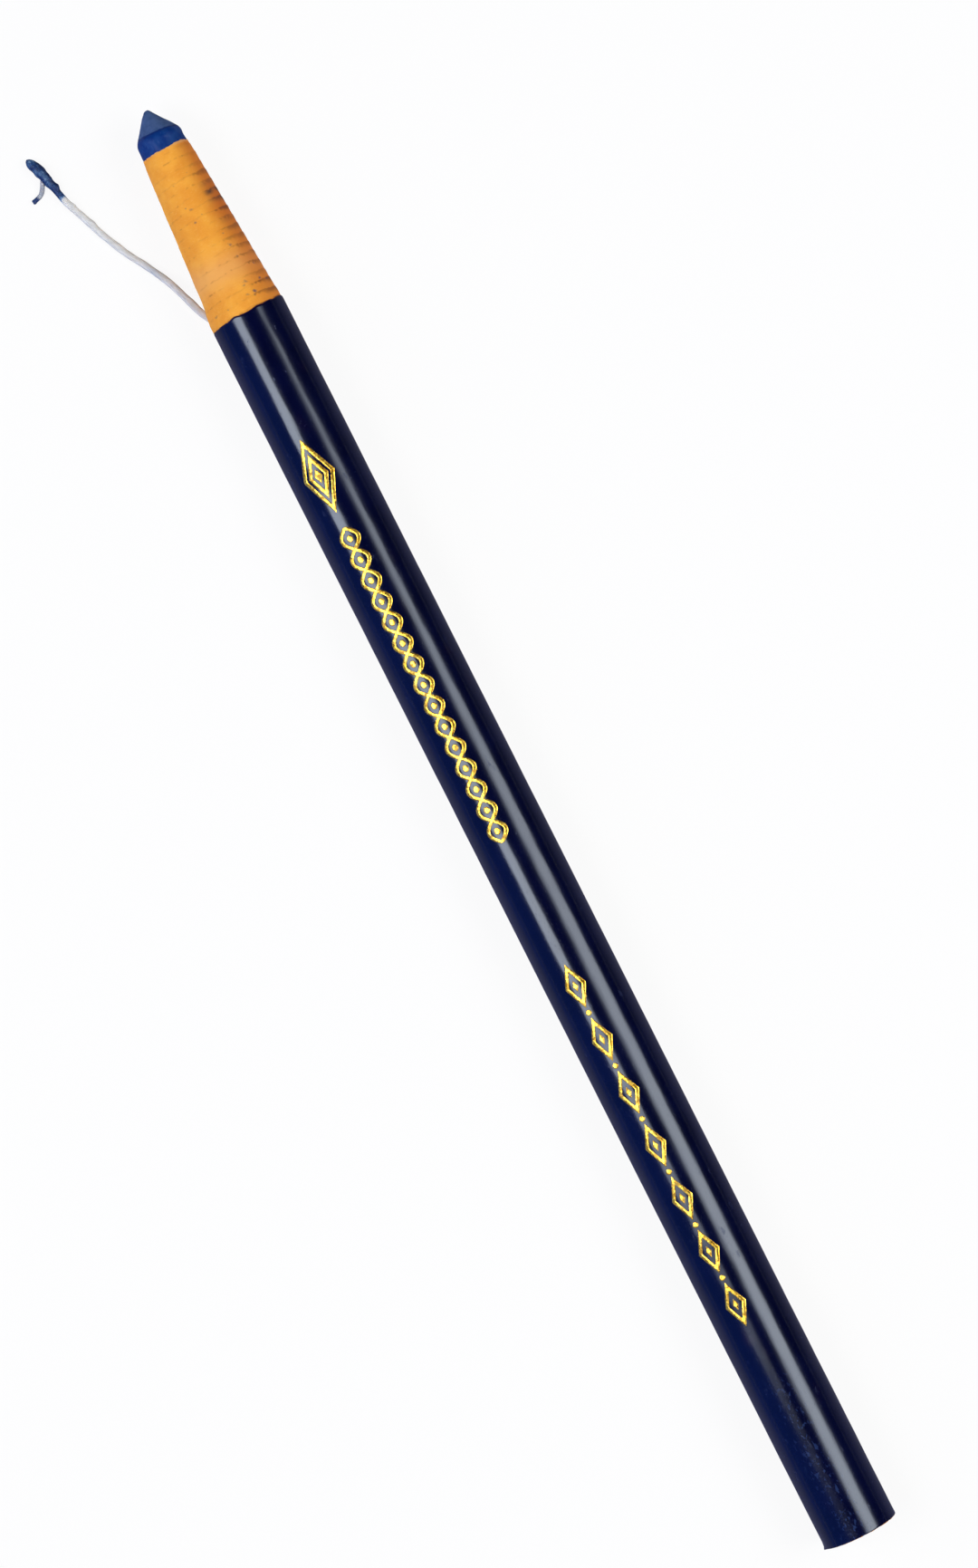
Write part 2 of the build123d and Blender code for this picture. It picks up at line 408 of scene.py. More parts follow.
# Specks of wax on the paper: distance from the tip, degrees round from the top towards the string,
# size and darkness.
wax_specks = [
    (8.6, -20, 0.3, 0.3), (9.3, 18, 0.2, 0.3), (12.2, 15, 0.26, 0.9), (12.6, 6, 0.38, 0.5),
    (13.6, -8, 0.22, 0.6), (14.1, 10, 0.34, 0.7), (16.5, -27, 0.3, 0.6), (18.0, -28, 0.4, 0.7),
    (19.5, -30, 0.3, 0.6), (20.9, -54, 0.34, 0.7), (22.5, -21, 0.5, 0.6), (22.8, -16, 0.4, 0.6),
    (23.9, -27, 0.6, 1.0), (22.7, -48, 0.44, 0.9), (23.0, -64, 0.44, 0.9), (23.9, -14, 0.32, 0.5),
    (24.5, 53, 0.36, 0.6), (24.5, 24, 0.3, 0.6),
]


def paper_marks(points):
    """Ply edges, soil and painted shade on the side away from the string, wax specks and the torn pale
    lip.

    Soil and painted shade fill each ply edge with a wedge that is widest at the side and runs out
    towards the top. That side is painted darker and browner all over: part tan, part painted shade.
    """
    x, radius, angle = place_on_axis(points)
    phase = ply_phase(x, angle, points)
    turn = np.clip(np.floor(phase + 0.03), 0, ply_turns).astype(int)
    behind_edge = phase + 0.03 - turn
    on_cone = smooth(x, butt_x + 1, butt_x + 2)
    side = -np.sin(angle)
    blotches = 0.5 + 0.5 * unevenness(points, 1.8, 31)
    draw = np.random.default_rng(32)
    streak_from = draw.uniform(-0.1, 0.6, ply_turns + 1)[turn] + 0.12 * unevenness(points, 0.5, 34)
    streak_width = 0.1 + 0.75 * smooth(side, streak_from, 1.1)
    # The streaks of soil and painted shade are weaker within about 8 mm of the tip.
    streak_zone = 0.3 + 0.7 * smooth(tip_x - x, 7.5, 10)
    streak_strength = draw.uniform(0.4, 1, ply_turns + 1)[turn]
    wedge = smooth(behind_edge, 0, 0.1) * (1 - smooth(behind_edge, 0.25 * streak_width, streak_width))
    # Soil and painted shade: a dark wedge behind each ply step on the side away from the string.
    soil_and_shade = on_cone * smooth(side, streak_from, streak_from + 0.4) * wedge * streak_strength
    soil_and_shade = soil_and_shade * streak_zone * np.clip(0.6 + 0.6 * blotches, 0, 1)
    smear = smooth(behind_edge, 0, 0.1) * (1 - smooth(behind_edge, 0.3, 0.75))
    stained = np.exp(-((x - tip_x + 11.8) / 1.3) ** 2) + 0.3 * np.exp(-((x - tip_x + 16) / 1.5) ** 2)
    stained = stained * smooth(side, 0.42, 0.74) * (0.2 + 0.8 * smear)
    stained = stained * np.clip(0.5 + 0.8 * blotches, 0, 1)
    # The tan and painted shade are strongest about 13 mm from the tip.
    tan_shade_band = 0.7 + 0.3 * np.exp(-((x - tip_x + 13) / 3.5) ** 2)
    edge_line = smooth(behind_edge, 0, 0.04) * (1 - smooth(behind_edge, 0.07, 0.18))
    dashes = smooth(unevenness(points, 0.7, 35), 0.3, 0.8) * smooth(unevenness(points, 4, 36), -0.2, 0.7)
    edge = on_cone * edge_line * (0.3 * smooth(blotches + streak_strength, 0.9, 1.5) + 0.7 * dashes)
    speck = np.zeros(len(points))
    ragged = 1 + 0.35 * unevenness(points, 0.4, 33)
    for from_tip, degrees, size, darkness in wax_specks:
        spot = round_axis(tip_x - from_tip, radius, math.radians(degrees))
        apart = np.linalg.norm((points - spot) * (1.3, 1, 1), axis=-1) * ragged
        speck = np.maximum(speck, darkness * (1 - smooth(apart, 0.1 * size, 0.62 * size)))
    torn = smooth(x, tip_x - bare_wax - 0.45, tip_x - bare_wax - 0.2)
    bleached = np.exp(-((x - tip_x + 20.3) / 1.8) ** 2)
    # Tan and painted shade: the side away from the string is painted darker and browner.
    tan_and_shade = on_cone * smooth(side, 0.2, 0.9) * tan_shade_band
    return {
        "ply_edge": edge, "tan_and_shade": tan_and_shade, "soil_and_shade": soil_and_shade, "stained": stained,
        "speck": speck, "torn": torn, "bleached": bleached, "sawn": 1 - on_cone,
    }


def sawn_plies(wire):
    """Glue lines on the sawn butt: a spiral that climbs one ply's thickness in a turn, 1 at each line."""
    offset = wire.node("VectorMath", {"operation": "SUBTRACT"}, {0: wire.place(), 1: (0, 0, axis_z)})
    level = wire.node("SeparateXYZ", {}, {0: offset}, output="Y")
    height = wire.node("SeparateXYZ", {}, {0: offset}, output="Z")
    radius = wire.math("SQRT", level * level + height * height)
    turns = radius * (1 / ply_step) - wire.math("ARCTAN2", level, height) * (1 / full_turn)
    turns = turns + wire.grain(1.4) * 0.8
    return wire.math("PINGPONG", turns, 0.5).above(0.3, 0.46)


def paper_finish(piece):
    """Orange-tan kraft: cloudy, finely fibrous, darker along ply edges, soiled and painted with shade on
    one side.
    """
    material, wire = new_finish("kraft_paper")
    clouds = wire.grain(2.2, 3)
    fibres = wire.grain(0.16, 4, (1.6, 0.5, 0.5))
    plies = sawn_plies(wire) * wire.mark("sawn")
    kraft = clouds.above(0.35, 0.65).mix(shade(235, 152, 44), shade(243, 166, 54))
    kraft = (fibres.above(0.5, 0.75) * 0.25).mix(kraft, shade(248, 190, 100))
    kraft = (wire.mark("bleached") * 0.6).mix(kraft, shade(236, 170, 96))
    # Tan and painted shade on the side away from the string.
    kraft = (wire.mark("tan_and_shade") * 0.9).mix(kraft, shade(196, 96, 16))
    kraft = (wire.mark("ply_edge") * 0.55).mix(kraft, shade(160, 84, 34))
    # Soil and painted shade in wedges behind the ply steps.
    kraft = (wire.mark("soil_and_shade") * 0.85).mix(kraft, shade(118, 60, 18))
    kraft = (wire.mark("stained") * 0.9).mix(kraft, shade(64, 50, 42))
    kraft = (wire.mark("torn") * 0.5).mix(kraft, shade(222, 176, 120))
    kraft = (wire.mark("speck") * 0.85).mix(kraft, shade(70, 64, 84))
    kraft = (plies * 0.45).mix(kraft, shade(142, 78, 26))
    relief = fibres * 0.6 + clouds * 0.4 - plies * 0.4
    close_finish(piece, material, wire, {"Base Color": kraft, "Roughness": 0.82, "IOR": 1.4}, relief, 0.03)


kraft_winding = make_piece("kraft_winding", paper_points, paper_faces, **paper_marks(paper_points))
paper_finish(kraft_winding)
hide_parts("paper_winding")
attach(kraft_winding, "marker")

# Held string: the part of the pull string that lies in the paper, from the butt, where its cut end
# shows, to just short of its bend. The free string takes over there.
string_radius = 0.35
string_handover_x = 62.9
held_columns = 40


def string_finish(name):
    """Off-white waxed thread: fine fibres along it, greyer hollows, and blue wax where it is marked."""
    material, wire = new_finish(name)
    cloudy = wire.grain(0.7, 3)
    fibres = wire.grain(0.09, 3)
    thread = cloudy.above(0.35, 0.65).mix(shade(206, 205, 200), shade(217, 216, 211))
    thread = (fibres.above(0.5, 0.75) * 0.3).mix(thread, shade(226, 225, 220))
    thread = (wire.mark("tan") * 0.22).mix(thread, shade(204, 188, 176))
    thread = wire.mark("waxed").mix(thread, shade(58, 118, 168))
    thread = wire.mark("dark_wax").mix(thread, shade(20, 46, 98))
    sockets = {"Base Color": thread, "Roughness": 0.5, "IOR": 1.45, "Subsurface Weight": 0.1}
    return material, wire, sockets, fibres * 0.5 + cloudy


def held_string_shell():
    """Straight round tube with domed ends along the string's line in the paper."""
    x = np.array([butt_x + 0.02, butt_x + 0.03, butt_x + 0.1, string_handover_x, string_handover_x + 0.05])
    radius = string_radius * np.array([0.6, 0.9, 1, 1, 0.8])
    angle = np.linspace(0, full_turn, held_columns, endpoint=False)
    middle = round_axis(0.0, string_depth, string_angle)
    rings = round_axis(x[:, None], radius[:, None], angle) + (0, middle[1], middle[2] - axis_z)
    return shell(rings, [(x[0], middle[1], middle[2]), (x[-1], middle[1], middle[2])])


held_points, held_faces = held_string_shell()
unmarked = dict.fromkeys(("tan", "waxed", "dark_wax"), np.zeros(len(held_points)))
held_string = make_piece("string_in_paper", held_points, held_faces, **unmarked)
close_finish(held_string, *string_finish("held_string"), 0.02)
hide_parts("held_string")
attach(held_string, "marker")

# Outer wrap: one turn of dark blue paper, varnished to a high gloss and glued round the winding.
# Its front edge is torn a little ragged and shows the red-brown stock under the varnish. The butt
# is sawn off, which leaves a burr on one side and bares a thin line of kraft on the other.
barrel_radius = (wrap_high[1] - wrap_low[1]) / 2
foil_height = 0.03
varnish_radius = barrel_radius - foil_height
wrap_thickness = 0.15
front_setback = 0.6
wrap_columns = 360


def wrap_shell():
    """Closed sleeve: the sawn butt edge, the varnished outside, the torn front edge and the bore."""
    angle = np.linspace(0, full_turn, wrap_columns, endpoint=False)
    bore = varnish_radius - wrap_thickness
    rim_x = butt_x + np.array([0.05, 0.06, 0.09, 0.16, 0.3])[:, None]
    rim_radius = varnish_radius - np.array([0.11, 0.05, 0.015, 0.002, 0])[:, None]
    butt_rim = round_axis(rim_x, rim_radius, angle)
    burr = 0.05 * np.exp(-((angle - math.radians(86)) / 0.16) ** 2)
    bared = 0.05 * smooth(-np.sin(angle), 0.2, 0.8)
    butt_rim[..., 0] += (bared - burr) * np.array([1, 1, 0.9, 0.6, 0.2])[:, None]
    flare = 0.2 * np.exp(-((angle - math.radians(88)) / 0.2) ** 2)
    butt_rim[..., 1] += flare * np.array([1, 1, 0.8, 0.55, 0.2])[:, None]
    front = wrap_high[0] - front_setback
    plain_x = np.linspace(butt_x + 0.9, front - 1.2, 150)
    body_x = np.concatenate([plain_x, np.linspace(front - 1.1, front, 14)])[:, None]
    around = round_axis(body_x, varnish_radius, angle)
    scallop = 0.22 * np.exp(-((angle - math.radians(21)) / 0.17) ** 2)
    torn = 0.04 * unevenness(around, 1.6, 41) + 0.02 * unevenness(around, 0.6, 42)
    torn = torn + scallop - 0.22 * np.sin(angle)
    ragged_x = body_x + torn * smooth(body_x, front - 1.2, front)
    waves = 0.006 * (unevenness(around, 6, 43) - 1.4) + 0.003 * (unevenness(around, 2.2, 44) - 1.4)
    worn = 0.05 * smooth(body_x, front - 0.16, front)
    body = round_axis(ragged_x, varnish_radius + waves - worn, angle)
    edge_x = ragged_x[-1:]
    front_rim = round_axis(edge_x, bore + 0.03, angle)
    wall_x = np.vstack([edge_x - 0.05, np.full_like(edge_x, butt_x + 0.06)])
    return shell(np.concatenate([butt_rim, body, front_rim, round_axis(wall_x, bore, angle)]))


def wrap_marks(points):
    """The torn front edge, where the stock shows, the sawn butt edge and painted glints ahead of it."""
    x, radius, angle = place_on_axis(points)
    rim = 1 - smooth(radius, varnish_radius - 0.06, varnish_radius - 0.02)
    # Painted highlight: pale glints where the left soft box's streak runs out towards the butt.
    painted_glints = (1 - smooth(x, butt_x + 14, butt_x + 24)) * np.exp(-((angle - math.radians(10)) / 0.3) ** 2)
    return {"torn": rim, "sawn": 1 - smooth(x, butt_x + 0.08, butt_x + 0.2), "painted_glints": painted_glints}


def wrap_finish(piece):
    """Dark blue varnish, slightly rippled, with pits, a few pale scuffs and painted glints near the butt.
    """
    material, wire = new_finish("blue_wrap")
    clouds = wire.grain(5, 2)
    pits = wire.grain(0.22, 2).above(0.62, 0.72)
    scuffs = wire.grain(1.1, 4, (0.5, 1, 1)).above(0.62, 0.75) * wire.grain(9, 1).above(0.45, 0.6)
    blue = clouds.above(0.35, 0.65).mix(shade(0, 2, 34), shade(0, 3, 40))
    blue = (scuffs * 0.15).mix(blue, shade(50, 66, 118))
    blue = (pits * 0.2).mix(blue, shade(18, 26, 70))
    # Painted highlight: pale glint flecks continuing the left streak near the butt.
    glint_flecks = wire.grain(0.4, 4, (0.6, 1, 1)).above(0.54, 0.66) * wire.mark("painted_glints")
    blue = (glint_flecks * 0.35).mix(blue, shade(60, 84, 136))
    blue = (wire.mark("torn") * 0.8).mix(blue, shade(70, 22, 24))
    blue = (wire.mark("sawn") * 0.6).mix(blue, shade(46, 44, 70))
    rough = scuffs * 0.2 + clouds * 0.08 + wire.mark("torn") * 0.5 + pits * 0.1 + 0.12
    ripples = wire.grain(0.5, 2, (0.12, 1, 1)) * 0.7 + wire.grain(1.6, 1, (0.3, 1, 1)) * 1.2
    relief = ripples + wire.grain(0.14, 2, (0.5, 1, 1)) * 0.14 - pits * 0.15
    sockets = {"Base Color": blue, "Roughness": rough, "IOR": 1.52, "Specular Tint": (0.8, 0.89, 1.0, 1.0)}
    close_finish(piece, material, wire, sockets, relief, 0.009)


wrap_points, wrap_faces = wrap_shell()
wrap_sleeve = make_piece("blue_sleeve", wrap_points, wrap_faces, **wrap_marks(wrap_points))
wrap_finish(wrap_sleeve)
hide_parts("outer_wrap")
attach(wrap_sleeve, "marker")

# Foil border: gold foil pressed hot onto the varnish as a plain twist, open lozenges and dots. The
# strokes stand up a little with rounded edges, so they glint along the middle and darken at the sides.
# A profile's points are shares of the half width and heights over the barrel's radius.
foil_angle = math.radians(14)
stroke_half = 0.22
stroke_profile = np.array([
    (-1, -0.05), (-1, -0.026), (-0.8, -0.008), (-0.4, 0), (0.4, 0), (0.8, -0.008), (1, -0.026), (1, -0.05),
])
dot_profile = np.array([(1, -0.05), (1, -0.026), (0.88, -0.008), (0.7, 0), (0.4, 0)])
dot_columns = 48
lozenge_side_points = 10


def foil_stroke(x, across):
    """Strip along a line on the barrel, x along it and across it in millimetres round from its middle.

    The profile is carried along the line, square to it: flat on top, with round edges.
    """
    ahead = np.stack([np.gradient(x), np.gradient(across)], axis=-1)
    ahead /= np.linalg.norm(ahead, axis=-1, keepdims=True)
    aside = stroke_profile[:, 0] * stroke_half
    place_x = x[:, None] - ahead[:, 1:] * aside
    place_across = across[:, None] + ahead[:, :1] * aside
    angle = foil_angle + place_across / barrel_radius
    rings = round_axis(place_x, barrel_radius + stroke_profile[:, 1], angle)
    return shell(rings, [rings[0].mean(axis=0), rings[-1].mean(axis=0)])


def foil_dot(x, half_length, half_width, power):
    """Domed patch on the barrel inside |u|^power + |v|^power = 1: a lozenge at 1, a disc at 2."""
    turn = np.linspace(0, full_turn, dot_columns, endpoint=False)
    along = half_length * np.sign(np.cos(turn)) * np.abs(np.cos(turn)) ** (2 / power)
    aside = half_width * np.sign(np.sin(turn)) * np.abs(np.sin(turn)) ** (2 / power)
    share = dot_profile[:, :1]
    radius = barrel_radius + dot_profile[:, 1:]
    rings = round_axis(x + along * share, radius, foil_angle + aside * share / barrel_radius)
    middle = round_axis(x, radius[[0, -1], 0], foil_angle)
    return shell(rings[:, ::-1], middle)


def foil_lozenge(x, half_length, half_width):
    """Open lozenge: the stroke's profile carried round four sides, with pointed corners.

    A step out from the sides makes a lozenge larger by that step over the radius of its inner circle.
    """
    inner_circle = half_length * half_width / math.hypot(half_length, half_width)
    share = 1 + stroke_profile[:, :1] * stroke_half / inner_circle
    side = np.linspace(0, 1, lozenge_side_points, endpoint=False)
    along = np.concatenate([1 - side, -side, side - 1, side]) * half_length
    across = np.concatenate([side, 1 - side, -side, side - 1]) * half_width
    angle = foil_angle + across * share / barrel_radius
    rings = round_axis(x + along * share, barrel_radius + stroke_profile[:, 1:], angle)
    return shell(rings)


twist_front = 37
twist_pitch = 5.2
twist_half_width = 1.05
twist_eyes = 15
eye_half = (0.42, 0.36)
twist_x = np.linspace(twist_front, twist_front - twist_eyes * twist_pitch / 2, 300)
twist_wave = np.sin((twist_front - twist_x) * full_turn / twist_pitch)
foil_shells = [foil_stroke(twist_x, side * twist_half_width * twist_wave) for side in (-1, 1)]
for eye_x in twist_front - (np.arange(twist_eyes) + 0.5) * twist_pitch / 2:
    foil_shells.append(foil_dot(eye_x, *eye_half, power=2))
head_x = 43.5
head_half = np.array([4.0, 1.8])
head_dot_half = (0.9, 0.5)
for size in (1.0, 0.55):
    foil_shells.append(foil_lozenge(head_x, *(head_half * size)))
foil_shells.append(foil_dot(head_x, *head_dot_half, power=1))
chain_front = -20
chain_pitch = 6.6
chain_links = 7
link_half = (2.2, 1.05)
link_dot_half = (0.7, 0.32)
gap_dot_radius = 0.34
for link_x in chain_front - chain_pitch * np.arange(chain_links):
    foil_shells.append(foil_lozenge(link_x, *link_half))
    foil_shells.append(foil_dot(link_x, *link_dot_half, power=1))
for gap_x in chain_front - chain_pitch * (np.arange(chain_links - 1) + 0.5):
    foil_shells.append(foil_dot(gap_x, gap_dot_radius, gap_dot_radius, power=2))


def join_shells(shells):
    """One shell's points, quads and triangles from several, with corner numbers that run on."""
    starts = np.cumsum([0] + [len(points) for points, _ in shells])
    faces = [[corners + start for corners in part] for start, (_, part) in zip(starts, shells)]
    quads, triangles = [np.vstack(kind) for kind in zip(*faces)]
    return np.vstack([points for points, _ in shells]), (quads, triangles)


def foil_finish(piece):
    """Gold foil, creased, with brown mottles painted in as shade for the dark room it reflects."""
    material, wire = new_finish("gold_foil")
    creases = wire.grain(0.35, 3)
    # Painted shade: brown mottles for the dark room reflected in the creased foil, also less metal and
    # rougher.
    painted_dark_mottles = wire.grain(0.6, 4).above(0.52, 0.7)
    gold = creases.above(0.35, 0.65).mix(shade(218, 164, 44), shade(248, 208, 84))
    gold = (painted_dark_mottles * 0.6).mix(gold, shade(110, 76, 24))
    rough = painted_dark_mottles * 0.25 + creases * 0.2 + 0.14
    sockets = {"Base Color": gold, "Metallic": 0.8 - painted_dark_mottles * 0.3, "Roughness": rough}
    close_finish(piece, material, wire, sockets, creases, 0.035)


foil_points, foil_faces = join_shells(foil_shells)
foil = make_piece("foil_border", foil_points, foil_faces)
foil_finish(foil)
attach(foil, "marker")

# Pull string: the free length of the thread, waxed and limp, a little flattened and lumpy. It
# leaves the paper just ahead of the wrap and lies along the surface beside the marker to its bead.
string_inside = round_axis(np.array([string_handover_x, string_bend_x]), string_depth, string_angle)
string_lying = [
    (2.41, 0.80, 2.05), (5.21, 1.78, 1.10), (7.81, 3.13, 0.55), (10.51, 4.75, 0.36), (13.21, 6.03, 0.36),
    (16.01, 7.08, 0.42), (18.21, 8.03, 0.73), (19.61, 8.38, 0.73),
]
bead_heading = math.radians(14.04)
bead_length = 5.5
string_stop = 0.6
string_columns = 36
lowest_z = 0.005


def past_exit(dx, dy, z):
    """Point that far along and aside from the string's exit, at its own height."""
    return string_exit[0] + dx, string_exit[1] + dy, z


def smooth_line(route, fineness):
    """Points along one NURBS spline that has the route's points as its control points."""
    curve = bpy.data.curves.new("string_line", "CURVE")
    curve.dimensions = "3D"
    spline = curve.splines.new("NURBS")
    spline.points.add(len(route) - 1)
    spline.points.foreach_set("co", np.column_stack([route, np.ones(len(route))]).ravel())
    spline.order_u = 3
    spline.use_endpoint_u = True
    spline.resolution_u = fineness
    carrier = bpy.data.objects.new("string_line", curve)
    line = bpy.data.meshes.new_from_object(carrier)
    points = np.empty(len(line.vertices) * 3)
    line.vertices.foreach_get("co", points)
    bpy.data.meshes.remove(line)
    bpy.data.objects.remove(carrier)
    bpy.data.curves.remove(curve)
    return points.reshape(-1, 3)


def along_line(line):
    """Distance of each point of a line from its start."""
    return np.concatenate([[0], np.cumsum(np.linalg.norm(np.diff(line, axis=0), axis=1))])


def tube_rings(line, radius, columns):
    """Rings square to a line that never stands upright: sideways and up directions times a radius."""
    ahead = np.gradient(line, axis=0)
    ahead /= np.linalg.norm(ahead, axis=1, keepdims=True)
    sideways = np.cross((0, 0, 1), ahead)
    sideways /= np.linalg.norm(sideways, axis=1, keepdims=True)
    upwards = np.cross(ahead, sideways)
    turn = np.linspace(0, full_turn, columns, endpoint=False)
    spoke = np.sin(turn)[:, None] * sideways[:, None] + np.cos(turn)[:, None] * upwards[:, None]
    return line[:, None] + radius[..., None] * spoke


bead_start = np.array(past_exit(*string_lying[-1]))
bead_ahead = np.array([math.cos(bead_heading), math.sin(bead_heading), 0])
string_end = bead_start + (bead_length - string_stop) * bead_ahead
string_outside = [past_exit(*step) for step in string_lying]
string_line = smooth_line(np.vstack([string_inside, string_exit, string_outside, string_end]), 40)
string_along = along_line(string_line)
free_from = string_along[np.argmin(np.linalg.norm(string_line - string_exit, axis=1))]
bead_from = string_along[np.argmin(np.linalg.norm(string_line - bead_start, axis=1))]

# Lumps of wax on the string's side towards the marker: distance before the bead, height and length.
string_lumps = [(2.0, 0.1, 0.4), (3.2, 0.05, 0.4), (4.9, 0.09, 0.35), (9.0, 0.05, 0.6)]


def pull_string_shell():
    """Tube along the string's line: slightly flat, softly uneven, with lumps on one side."""
    turn = np.linspace(0, full_turn, string_columns, endpoint=False)
    place = string_along[:, None]
    plain = tube_rings(string_line, np.full((len(string_line), 1), string_radius), string_columns)
    swell = 0.05 * unevenness(plain, 2.2, 51) + 0.012 * unevenness(plain, 0.6, 52)
    flat = 0.16 + 0.14 * np.exp(-((place - free_from - 1.6) / 1.1) ** 2)
    flat = flat * (np.sin(turn) ** 2 - 0.6 * np.cos(turn) ** 2)
    radius = string_radius * (1 + swell + flat)
    side = np.clip(-np.sin(turn), 0, 1)
    for before_bead, height, length in string_lumps:
        radius = radius + height * side * np.exp(-((place - bead_from + before_bead) / length) ** 2)
    inside = 1 - smooth(place, free_from - 1.2, free_from)
    radius = radius + inside * (string_radius - radius)
    radius = radius * (1 - 0.7 * smooth(place, bead_from + 2, bead_from + 4.5))
    rings = tube_rings(string_line, radius, string_columns)
    rings[..., 2] = np.maximum(rings[..., 2], lowest_z)
    return shell(rings, [string_line[0], string_line[-1]])


def string_marks(points):
    """Tan where the string leaves the paper, and blue wax near the bead and in one rubbed patch."""
    place = np.append(np.repeat(string_along, string_columns), string_along[[0, -1]])
    tan = 1 - smooth(place - free_from, 0.2, 2.6)
    rubbed = 0.25 * np.exp(-((place - free_from - 8) / 1.2) ** 2)
    near_bead = place - bead_from + 0.16 * unevenness(points, 0.5, 53)
    waxed = smooth(near_bead, -0.9, -0.3)
    return {"tan": tan, "waxed": np.clip(waxed + rubbed, 0, 1), "dark_wax": smooth(near_bead, -0.6, -0.05)}


string_points, string_faces = pull_string_shell()
pull_string = make_piece("free_thread", string_points, string_faces, **string_marks(string_points))
close_finish(pull_string, *string_finish("pull_string"), 0.012)
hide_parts("pull_string")
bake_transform(pull_string)

# Wax bead: a smear of the marker's own wax, pinched round the doubled end of the string so that
# it can be caught with a fingernail. It is leaf-shaped, lumpy and fades into the thread.
bead_profile_at = np.array([-0.1, 0.2, 0.6, 1.2, 2.2, 3.3, 4.3, 5.4])
bead_profile_radius = np.array([0.37, 0.38, 0.4, 0.45, 0.6, 0.68, 0.6, 0.5])
bead_nose = 0.9
nose_bend = 0.3
nose_bend_from = 3.2
nose_bend_to = 5.6
bead_rings = 90
bead_columns = 64


def bead_shell():
    """Lathe round the bead's level axis: a leaf profile with a round nose, and a bump by its neck."""
    place = np.linspace(bead_profile_at[0], bead_profile_at[-1], bead_rings)
    base = np.interp(place, bead_profile_at, bead_profile_radius)
    kernel = np.hanning(13) / np.hanning(13).sum()
    base = np.convolve(np.pad(base, 6, mode="edge"), kernel, mode="valid")
    into_nose = np.clip((place - place[-1]) / bead_nose + 1, 0, 0.98)
    base = (base * np.sqrt(1 - into_nose**2))[:, None]
    bead_aside = np.array([-bead_ahead[1], bead_ahead[0], 0])
    bend = nose_bend * smooth(place, nose_bend_from, nose_bend_to)
    line = bead_start + place[:, None] * bead_ahead + bend[:, None] * bead_aside
    turn = np.linspace(0, full_turn, bead_columns, endpoint=False)
    plain = tube_rings(line, np.broadcast_to(base, (bead_rings, bead_columns)), bead_columns)
    lumps = 0.04 * unevenness(plain, 1.3, 61) + 0.02 * unevenness(plain, 0.45, 62)
    shoulder = 0.2 * np.exp(-((place[:, None] - 0.9) / 0.4) ** 2) * np.clip(-np.sin(turn), 0, 1) ** 2
    rings = tube_rings(line, base * (1 + lumps) + shoulder, bead_columns)
    rings[..., 2] = np.maximum(rings[..., 2], lowest_z)
    rings[..., 0] = np.minimum(rings[..., 0], cad_box[1][0] / mm)
    return shell(rings, [line[0], line[-1] + 0.03 * bead_ahead])


def bead_marks(points):
    """The crown that fingers rubbed pale, and painted shade on the side towards the marker."""
    offset = points - bead_start
    aside = offset[:, 1] * bead_ahead[0] - offset[:, 0] * bead_ahead[1]
    along = offset @ bead_ahead
    rubbed = np.exp(-((aside - 0.1) / 0.35) ** 2) * smooth(along, 1.2, 2.2)
    # dark_side is painted shade on the side towards the marker.
    return {"rubbed": rubbed, "dark_side": smooth(-aside + 0.12 * unevenness(points, 0.6, 63), 0.2, 0.45)}


def bead_finish(piece):
    """Smeared wax, mottled near-black to mid blue, paler pressed streaks, painted shade towards the
    marker.
    """
    material, wire = new_finish("bead_wax")
    mottle = wire.grain(0.8, 3)
    streaks = wire.grain(0.3, 3, (0.4, 1, 1))
    wax = mottle.above(0.35, 0.65).mix(shade(16, 46, 98), shade(52, 88, 130))
    wax = (streaks.above(0.5, 0.68) * 0.6 * wire.mark("rubbed")).mix(wax, shade(120, 150, 176))
    wax = ((1 - streaks).above(0.52, 0.68) * 0.6).mix(wax, shade(12, 30, 66))
    # Painted shade: the side towards the marker darker.
    wax = (wire.mark("dark_side") * 0.75).mix(wax, shade(10, 26, 66))
    relief = mottle + streaks * 0.6
    sockets = {"Base Color": wax, "Roughness": 0.5, "Specular IOR Level": 0.3}
    close_finish(piece, material, wire, sockets, relief, 0.05)


bead_points, bead_faces = bead_shell()
bead = make_piece("wax_bead", bead_points, bead_faces, **bead_marks(bead_points))
bead_finish(bead)
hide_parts("string_bead")
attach(bead, "string")

# String tail: the cut end of the thread, doubled back out of the bead's side. Its last bit is
# stained dark by the wax.
tail_lying = [
    (22.6, 9.15, 0.66), (21.9, 9.35, 0.60), (21.2, 9.8, 0.45), (20.4, 10.35, 0.30), (20.21, 11.5, 0.285),
]
tail_radius = 0.28
tail_columns = 28
tail_line = smooth_line([past_exit(*step) for step in tail_lying], 30)
tail_along = along_line(tail_line)


def tail_shell():
    """Tube along the tail's line, softly uneven, with its cut end drawn in."""
    plain = tube_rings(tail_line, np.full((len(tail_line), 1), tail_radius), tail_columns)
    swell = 1 + 0.07 * unevenness(plain, 0.9, 71)
    cut = 1 - 0.25 * smooth(tail_along, tail_along[-1] - 0.12, tail_along[-1])[:, None]
    rings = tube_rings(tail_line, tail_radius * swell * cut, tail_columns)
    rings[..., 2] = np.maximum(rings[..., 2], lowest_z)
    return shell(rings, [tail_line[0], tail_line[-1]])


def tail_marks(points):
    """Greyed by wax all along, and dark at the cut end."""
    place = np.append(np.repeat(tail_along, tail_columns), tail_along[[0, -1]])
    to_end = tail_along[-1] - place
    waxed = 0.1 + 0.05 * unevenness(points, 0.7, 72)
    dark = np.maximum(0.42 + 0.8 * (waxed - 0.1), 1 - smooth(to_end, 0.65, 1.1))
    return {"tan": 0 * dark, "waxed": np.clip(waxed, 0, 1), "dark_wax": dark}


tail_points, tail_faces = tail_shell()
tail = make_piece("thread_tail", tail_points, tail_faces, **tail_marks(tail_points))
close_finish(tail, *string_finish("tail_string"), 0.02)
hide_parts("string_tail")
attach(tail, "string")
